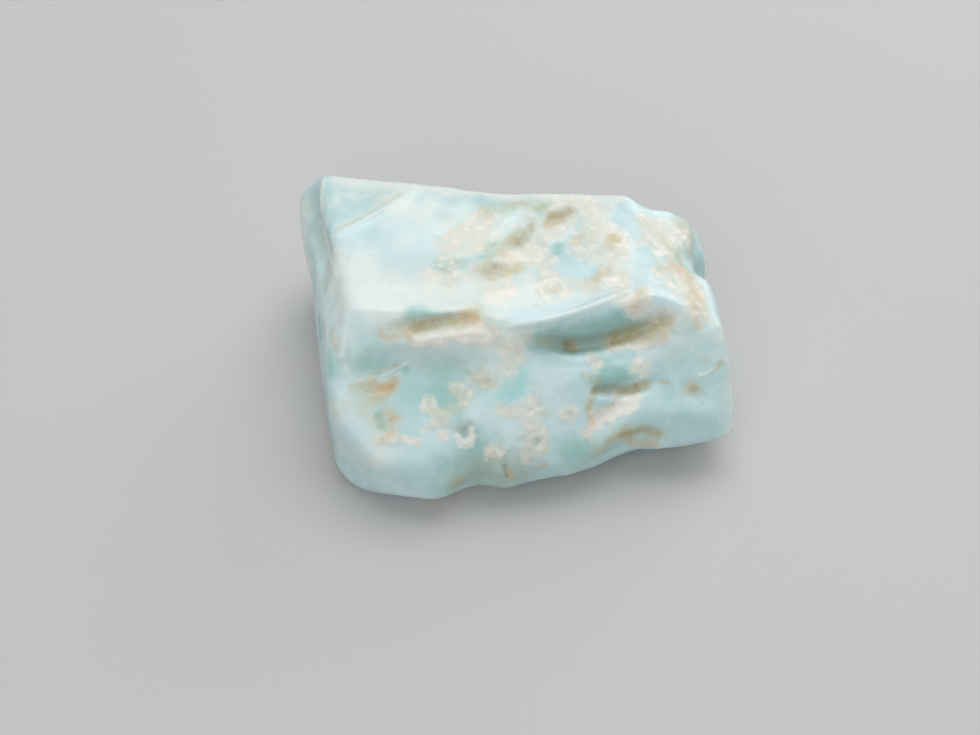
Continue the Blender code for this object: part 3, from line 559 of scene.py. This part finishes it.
def fine_copy(node, settings):
    """A copy of the CAD solid with its facets rounded off, in an even skin of fine faces."""
    bm = bmesh.new()
    bm.from_mesh(node.data)
    bmesh.ops.remove_doubles(bm, verts=bm.verts, dist=WELD_DISTANCE)
    mesh = bpy.data.meshes.new("larimar")
    bm.to_mesh(mesh)
    bm.free()
    piece = add_object("larimar", mesh)
    rounded = piece.modifiers.new("rounded", "SUBSURF")
    rounded.levels = ROUNDING_LEVELS
    rounded.render_levels = ROUNDING_LEVELS
    skin = piece.modifiers.new("skin", "REMESH")
    skin.mode = "VOXEL"
    skin.voxel_size = settings.skin_step
    even = piece.modifiers.new("even", "SMOOTH")
    even.factor = 0.5
    even.iterations = settings.smooth_passes
    apply_modifiers(piece)
    return piece


def vectors_of(mesh, layer="vertices", value="co"):
    """A row of three numbers for each vertex, such as its place or the way it faces."""
    rows = np.empty(len(mesh.vertices) * 3)
    getattr(mesh, layer).foreach_get(value, rows)
    return rows.reshape(-1, 3)


def grain(points, wavelength, seed):
    """Noise between -1 and 1 at each point of the skin, whose lumps are a wavelength apart."""
    away = Vector((seed, seed * 0.7, -seed))
    return np.array([noise.noise(Vector(point) / wavelength + away) for point in points])


def wander(points, wavelength):
    """A step this way or that for each point of the skin, up to about 1 long."""
    return np.array([noise.noise_vector(Vector(point) / wavelength) for point in points])


def rise(value, start, full):
    """0 up to start, 1 from full on, and smooth in between."""
    share = np.clip((value - start) / (full - start), 0, 1)
    return share * share * (3 - 2 * share)


class Skin:
    """The stone's skin in millimetres, on which marks are placed by pixels of the photograph."""

    def __init__(self, piece, view):
        self.mesh = piece.data
        self.view = view
        self.points = vectors_of(self.mesh) / MM
        self.facing = vectors_of(self.mesh, "vertex_normals", "vector")
        noise.seed_set(BEND_SEED)
        self.wandering = sum(reach * wander(self.points, wavelength) for wavelength, reach in BENDS)
        faces = [face.vertices for face in self.mesh.polygons]
        self.tree = BVHTree.FromPolygons([Vector(point) for point in self.points], faces)
        self.middle = Vector((self.points.max(axis=0) + self.points.min(axis=0)) / 2)
        self.fields = {finish: np.zeros(len(self.points)) for finish in FINISHES}
        self.height = np.zeros(len(self.points))

    def place(self, pixel):
        """Where a pixel of the photograph falls on the skin, or the nearest place to it."""
        ray = self.view.ray(pixel)
        hit = self.tree.ray_cast(self.view.eye, ray)[0]
        if hit is None:
            depth = (self.middle - self.view.eye).dot(ray)
            hit = self.tree.find_nearest(self.view.eye + ray * depth)[0]
        return np.array(hit)

    def trace(self, path):
        """Closely spaced points along a path of pixels, on the skin."""
        places = [self.place(pixel) for pixel in path]
        rows = [places[0]]
        for start, end in zip(places, places[1:]):
            steps = max(int(np.linalg.norm(end - start) / TRACE_STEP), 1)
            rows += [start + (end - start) * (i + 1) / steps for i in range(steps)]
        return np.array(rows)

    def near(self, points, rows, width):
        """The indices of the points around the rows, with 1 on the rows and 0 from a width away."""
        low = rows.min(axis=0) - width
        high = rows.max(axis=0) + width
        index = np.flatnonzero(((points > low) & (points < high)).all(axis=1))
        apart = ((points[index, None] - rows) ** 2).sum(axis=2).min(axis=1)
        return index, np.maximum(1 - np.sqrt(apart) / width, 0)

    def paint(self, finish, rows, width, strength, cover=None):
        """Adds a mark to a finish's field, with an outline that wanders by a part of the mark's width.

        cover is a share for each point of the skin, for marks that fade out on a part of it.
        """
        index, share = self.near(self.points + width * self.wandering, rows, width * REACH_OF_MARKS)
        field = self.fields[finish]
        share = np.clip(share * strength, -1, 1)
        if cover is not None:
            share = share * cover[index]
        field[index] += share - field[index] * np.abs(share)

    def lift(self, rows, width, height):
        """Raises or, with a height below 0, lowers the skin along the rows."""
        index, share = self.near(self.points, rows, width)
        self.height[index] += height * rise(share, 0, 1)


def paint_photo_marks(skin):
    """What the photograph shows."""
    for one in MARKS.values():
        skin.paint(one["finish"], skin.trace(one["path"]), one["width"], one["strength"])
    for height, width, *path in RELIEF.values():
        skin.lift(skin.trace(path), width, height)
    for pixel in PITS:
        rows = skin.trace([pixel])
        skin.lift(rows, PIT_WIDTH, -PIT_DEPTH)
        skin.paint("brown", rows, PIT_STAIN_WIDTH, PIT_STAIN_STRENGTH)


def paint_unseen_sides(skin, seed):
    """Crust, stains and blue places on the sides that the photograph doesn't show."""
    rng = np.random.default_rng(seed)
    towards = np.array(skin.view.eye) - skin.points
    towards /= np.linalg.norm(towards, axis=1, keepdims=True)
    turned_away = -(skin.facing * towards).sum(axis=1)
    unseen = np.flatnonzero(turned_away > EDGE_OF_VIEW)
    cover = rise(turned_away, EDGE_OF_VIEW - FADE_AT_EDGE, EDGE_OF_VIEW + FADE_AT_EDGE)

    def trail(start, length):
        """A wandering row of places on the skin."""
        way = rng.normal(size=3)
        places = [start]
        for _ in range(TRAIL_STEPS):
            way += rng.normal(size=3) * TRAIL_SWERVE
            step = Vector(places[-1] + way / np.linalg.norm(way) * length / TRAIL_STEPS)
            places.append(np.array(skin.tree.find_nearest(step)[0]))
        return np.array(places)

    for finish, (count, widths, lengths, strengths) in SCATTERED.items():
        for start in skin.points[rng.choice(unseen, count)]:
            rows = trail(start, rng.uniform(*lengths))
            skin.paint(finish, rows, rng.uniform(*widths), rng.uniform(*strengths), cover)
    for start in skin.points[rng.choice(unseen, SCATTERED_PITS)]:
        skin.lift(start[None], PIT_WIDTH * rng.uniform(*PIT_SPREAD), -PIT_DEPTH)
        skin.paint("brown", start[None], PIT_STAIN_WIDTH, PIT_STAIN_STRENGTH, cover)


def roughen(skin, settings):
    """Lets the crust stand up a little, with a grain of its own."""
    swell = grain(skin.points, SWELL_SIZE, seed=3.0)
    fine = grain(skin.points, GRAIN_SIZE, seed=11.0)
    field = np.maximum(skin.fields["cream"], skin.fields["chalk"])
    crust = rise(field + CRUST_FRAY * fine, *CRUST_EDGE)
    skin.height += crust * (settings.crust_height + settings.crust_grain * fine) / MM
    skin.height += SWELL_HEIGHT * swell * (1 - crust)


def finish_skin(skin):
    """Moves the skin to its height, and keeps the painted fields as attributes."""
    low = skin.points[:, 2].min()
    moved = skin.points + skin.facing * skin.height[:, None]
    moved[:, 2] = np.maximum(moved[:, 2], low)
    skin.mesh.vertices.foreach_set("co", (moved * MM).ravel())
    for finish, field in skin.fields.items():
        skin.mesh.attributes.new(finish, "FLOAT", "POINT").data.foreach_set("value", field)
    skin.mesh.update()
    skin.mesh.shade_smooth()


def sum_of(operation, reflected=False):
    """An operator of Wire, which adds the Math node of that operation."""
    def write(self, other):
        pair = (other, self) if reflected else (self, other)
        return self.finish.node("ShaderNodeMath", {"operation": operation}, dict(enumerate(pair)))
    return write


class Wire:
    """An output of a finish's nodes. Sums with it add Math nodes."""

    def __init__(self, finish, socket):
        self.finish = finish
        self.socket = socket

    __add__ = sum_of("ADD")
    __radd__ = sum_of("ADD")
    __sub__ = sum_of("SUBTRACT")
    __rsub__ = sum_of("SUBTRACT", reflected=True)
    __mul__ = sum_of("MULTIPLY")
    __rmul__ = sum_of("MULTIPLY")

    def rise(self, start, full):
        """0 up to start, 1 from full on, and smooth in between."""
        limits = {"Value": self, "From Min": start, "From Max": full}
        return self.finish.node("ShaderNodeMapRange", {"interpolation_type": "SMOOTHSTEP"}, limits)


class Finish:
    """Writes the nodes of one material."""

    def __init__(self, name):
        self.material = bpy.data.materials.new(name)
        self.material.use_nodes = True
        self.tree = self.material.node_tree
        self.tree.nodes.clear()

    def node(self, kind, settings=None, inputs=None, output=0):
        """Adds a node with these settings, then these values or links at its sockets."""
        node = self.tree.nodes.new(kind)
        for name, value in (settings or {}).items():
            setattr(node, name, value)
        for name, value in (inputs or {}).items():
            if isinstance(value, Wire):
                self.tree.links.new(value.socket, node.inputs[name])
            else:
                node.inputs[name].default_value = value
        return Wire(self, node.outputs[output])

    def attribute(self, name):
        """A field painted on the skin."""
        return self.node("ShaderNodeAttribute", {"attribute_name": name}, output="Fac")

    def noise(self, wavelength, seed, detail=2.0, distortion=0.0):
        """Noise around 0.5 whose lumps are a wavelength in millimetres apart."""
        place = self.node("ShaderNodeTexCoord", output="Object")
        inputs = {"Vector": place, "W": seed, "Scale": 1 / (wavelength * MM), "Detail": detail,
                  "Distortion": distortion}
        return self.node("ShaderNodeTexNoise", {"noise_dimensions": "4D"}, inputs)

    def lumps(self, size, seed):
        """1 in the middle of rounded lumps of a size in millimetres, and 0 between them."""
        place = self.node("ShaderNodeTexCoord", output="Object")
        away = self.node("ShaderNodeVectorMath", {"operation": "ADD"}, {0: place, 1: (seed, seed, seed)})
        apart = self.node("ShaderNodeTexVoronoi", inputs={"Vector": away, "Scale": 1 / (size * MM)})
        return 1 - apart.rise(0.15, 0.75)

    def mix(self, colour, other, share):
        """The colour, with the other in its share. A colour is a wire, or red, green and blue."""
        pair = [one if isinstance(one, Wire) else (*one, 1) for one in (colour, other)]
        # Sockets 6 and 7 and output 2 are the node's colours
        inputs = {0: share, 6: pair[0], 7: pair[1]}
        return self.node("ShaderNodeMix", {"data_type": "RGBA"}, inputs, output=2)

    def show(self, shader):
        """Ends the nodes with this shader, and gives the material."""
        output = self.tree.nodes.new("ShaderNodeOutputMaterial")
        self.tree.links.new(shader.socket, output.inputs["Surface"])
        return self.material


def larimar_finish(settings):
    """Clouded blue stone under a waxy polish, with dull crust and stains where the skin carries them, and
    the painted highlights and painted shade that the skin's fields also carry.
    """
    f = Finish("larimar")
    field = {finish: f.attribute(finish) for finish in FINISHES}
    clouds = f.noise(9.0, seed=1.0, detail=3.0, distortion=0.6)
    wisps = f.noise(2.6, seed=2.0, detail=4.0, distortion=1.2)
    flecks = f.noise(0.9, seed=3.0, detail=4.0)
    dust = f.noise(0.28, seed=4.0, detail=3.0)
    greens = f.noise(5.0, seed=5.0, detail=3.0).rise(0.54, 0.8)

    # The clouded stone, and the soft coloured places in it, among them painted highlights and painted light
    # in haze and blue and painted shade in teal and grey
    colour = f.mix(settings.sea, settings.cloud, (clouds * 0.6 + wisps * 0.4).rise(0.38, 0.64))
    colour = f.mix(colour, settings.teal, greens * 0.4)
    soft = (wisps - 0.5) * 1.1 + (flecks - 0.5) * 1.0
    for finish, full in (("haze", 0.85), ("blue", 0.75), ("teal", 0.8), ("turquoise", 0.9), ("grey", 0.7)):
        share = (field[finish] + soft * field[finish]).rise(0.0, 0.9)
        colour = f.mix(colour, getattr(settings, finish), share * full)

    # The lumpy crust, whitest at its rim
    lumps = f.lumps(1.1, seed=0.006) * 0.6 + f.lumps(0.45, seed=0.007) * 0.4
    broken = (flecks - 0.5) * 0.5 + (lumps - 0.5) * 0.2
    cream = (field["cream"] + broken).rise(0.08, 0.75)
    chalk = (field["chalk"] + broken).rise(0.1, 0.6)
    rim = cream * (1 - cream) * lumps
    mottled = f.mix(settings.cream, settings.chalk, (lumps * 0.5 + wisps * 0.8).rise(0.4, 1.0))
    colour = f.mix(colour, mottled, cream * (0.4 + lumps * 0.45))
    # Chalk also carries the painted highlight along the back rim and the light line along the step
    colour = f.mix(colour, settings.chalk, (chalk * 0.7 + rim).rise(0.0, 1.1))

    # The grainy stains over both; tan also carries the painted shadow along the step and painted shade on
    # the knob's right side
    stains = (wisps - 0.5) * 1.1 + (flecks - 0.5) * 1.3 + (dust - 0.5) * 0.9
    for finish, full in (("tan", 0.7), ("rust", 0.7), ("brown", 0.7)):
        share = (field[finish] + stains * field[finish]).rise(0.0, 1.1)
        colour = f.mix(colour, getattr(settings, finish), share * full)

    dull = (cream + chalk + field["tan"] * 0.7 + field["rust"] * 0.7).rise(0.0, 1.0)
    roughness = settings.polish + dull * (settings.crust_dullness - settings.polish) + (flecks - 0.5) * 0.12
    height = dull * dust * 0.35 + wisps * 0.05 + dull * flecks * 0.3
    bump = f.node("ShaderNodeBump", inputs={"Strength": 0.35, "Distance": 0.12 * MM, "Height": height})
    shader = f.node("ShaderNodeBsdfPrincipled", inputs={
        "Base Color": colour,
        "Roughness": roughness,
        "Normal": bump,
        "IOR": 1.6,
        "Coat Weight": settings.wax,
        "Coat Roughness": settings.wax_roughness,
        "Subsurface Weight": settings.glow,
        "Subsurface Radius": (1.0, 1.1, 1.2),
        "Subsurface Scale": settings.glow_depth,
    })
    return f.show(shader)


def plain_finish(name, colour, roughness):
    """An even material of one colour."""
    f = Finish(name)
    shader = f.node("ShaderNodeBsdfPrincipled", inputs={"Base Color": (*colour, 1), "Roughness": roughness})
    return f.show(shader)


def turn_to(thing, target):
    """Turns a lamp or a camera to look at a place."""
    thing.rotation_mode = "QUATERNION"
    thing.rotation_quaternion = (Vector(target) - thing.location).to_track_quat("-Z", "Y")


def add_softbox(name, place, size, power):
    """A square lamp that points at the stone."""
    light = bpy.data.lights.new(name, "AREA")
    light.size = size
    light.energy = power
    lamp = add_object(name, light)
    lamp.location = place
    turn_to(lamp, (0, 0, 0))


class OBJECT_OT_larimar_stone(bpy.types.Operator):
    """Makes the stone's fine skin with its crust, stains and polish"""

    bl_idname = "object.larimar_stone"
    bl_label = "Larimar Stone"

    def execute(self, context):
        settings = context.scene.rough_larimar
        piece = fine_copy(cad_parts["larimar_stone"], settings)
        skin = Skin(piece, PhotoView(context.scene.larimar_stage))
        paint_photo_marks(skin)
        paint_unseen_sides(skin, settings.seed)
        roughen(skin, settings)
        finish_skin(skin)
        piece.data.materials.append(larimar_finish(settings))
        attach(piece, "root")
        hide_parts("larimar_stone")
        return {"FINISHED"}


class SCENE_OT_larimar_stage(bpy.types.Operator):
    """Sets the plain floor, the soft lights and the camera at the photograph's viewing angle"""

    bl_idname = "scene.larimar_stage"
    bl_label = "Plain Stage"

    def execute(self, context):
        stage = context.scene.larimar_stage
        bm = bmesh.new()
        bmesh.ops.create_circle(bm, cap_ends=True, segments=FLOOR_SIDES, radius=stage.floor_size / 2)
        mesh = bpy.data.meshes.new("floor")
        bm.to_mesh(mesh)
        bm.free()
        mesh.materials.append(plain_finish("floor", stage.floor_colour, roughness=0.8))
        add_object("floor", mesh)
        add_softbox("window", place=(0.08, 0.2, 0.55), size=0.5, power=stage.key_power)
        add_softbox("low_window", place=(0.32, 0.45, 0.17), size=0.4, power=stage.rim_power)
        add_softbox("room", place=(-0.15, -0.5, 0.45), size=0.6, power=stage.fill_power)

        world = bpy.data.worlds.new("room")
        world.use_nodes = True
        background = world.node_tree.nodes["Background"]
        background.inputs["Color"].default_value = (1, 1, 1, 1)
        background.inputs["Strength"].default_value = stage.room_light
        context.scene.world = world
        context.scene.view_settings.view_transform = "Standard"

        view = PhotoView(stage)
        data = bpy.data.cameras.new("camera")
        data.lens = LENS
        data.sensor_width = SENSOR_WIDTH
        data.clip_start = MM
        camera = add_object("camera", data)
        camera.location = view.eye * MM
        turn_to(camera, stage.aim)
        context.scene.camera = camera
        return {"FINISHED"}


class VIEW3D_PT_rough_larimar(bpy.types.Panel):
    """Buttons for the stone and its stage"""

    bl_label = "Rough Larimar"
    bl_space_type = "VIEW_3D"
    bl_region_type = "UI"
    bl_category = "Larimar"

    def draw(self, context):
        for settings, operator in (
            (context.scene.rough_larimar, OBJECT_OT_larimar_stone),
            (context.scene.larimar_stage, SCENE_OT_larimar_stage),
        ):
            box = self.layout.box()
            for name in settings.__annotations__:
                box.prop(settings, name)
            box.operator(operator.bl_idname)


CLASSES = (
    RoughLarimarSettings,
    StageSettings,
    OBJECT_OT_larimar_stone,
    SCENE_OT_larimar_stage,
    VIEW3D_PT_rough_larimar,
)


def register():
    for one in CLASSES:
        bpy.utils.register_class(one)
    bpy.types.Scene.rough_larimar = bpy.props.PointerProperty(type=RoughLarimarSettings)
    bpy.types.Scene.larimar_stage = bpy.props.PointerProperty(type=StageSettings)


def unregister():
    del bpy.types.Scene.larimar_stage
    del bpy.types.Scene.rough_larimar
    for one in reversed(CLASSES):
        bpy.utils.unregister_class(one)


def main():
    register()
    bpy.ops.scene.larimar_stage()
    bpy.ops.object.larimar_stone()


if __name__ == "__main__":
    main()
